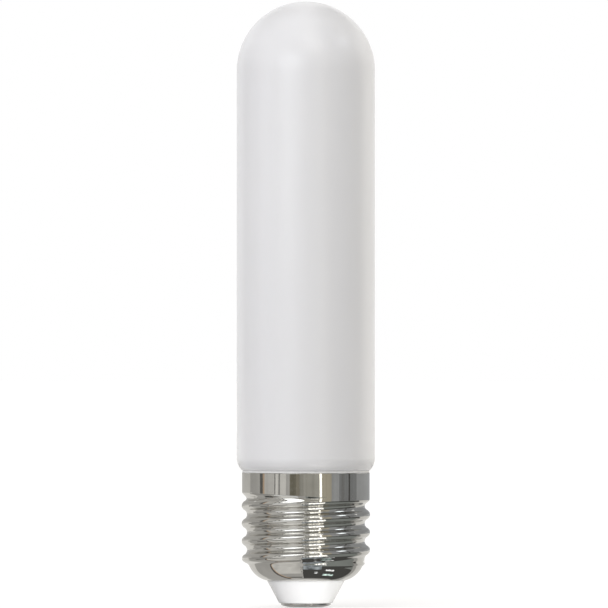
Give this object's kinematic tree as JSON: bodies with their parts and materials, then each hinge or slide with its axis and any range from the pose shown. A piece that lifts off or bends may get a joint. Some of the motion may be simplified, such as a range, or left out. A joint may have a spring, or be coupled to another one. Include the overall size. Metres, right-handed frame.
{
  "type": "tubular light bulb",
  "caption": "Upright opal tubular lamp with a domed glass tube, a plated screw cap of the E27 size, a white insulator and a domed centre contact.",
  "frame": {"origin": "on the lamp's axis at the lowest point of the centre contact", "axes": "+Z along the lamp's axis towards the dome, +X and +Y level"},
  "size_m": [0.0283, 0.0282, 0.124],
  "materials": {
    "opal_glass": "soft matt white, frosted opal glass",
    "cement": "matt off-white putty",
    "plated_shell": "mirror-bright nickel plate",
    "white_moulding": "glossy white",
    "contact_metal": "nickel plate, slightly brushed",
    "lead_wire": "bare copper"
  },
  "bodies": {
    "root": {"glass_bulb": "opal_glass", "capping_cement": "cement", "screw_shell": "plated_shell", "insulator": "white_moulding", "centre_contact": "contact_metal", "centre_lead_wire": "lead_wire", "side_lead_wire": "lead_wire"}
  },
  "joints": []
}
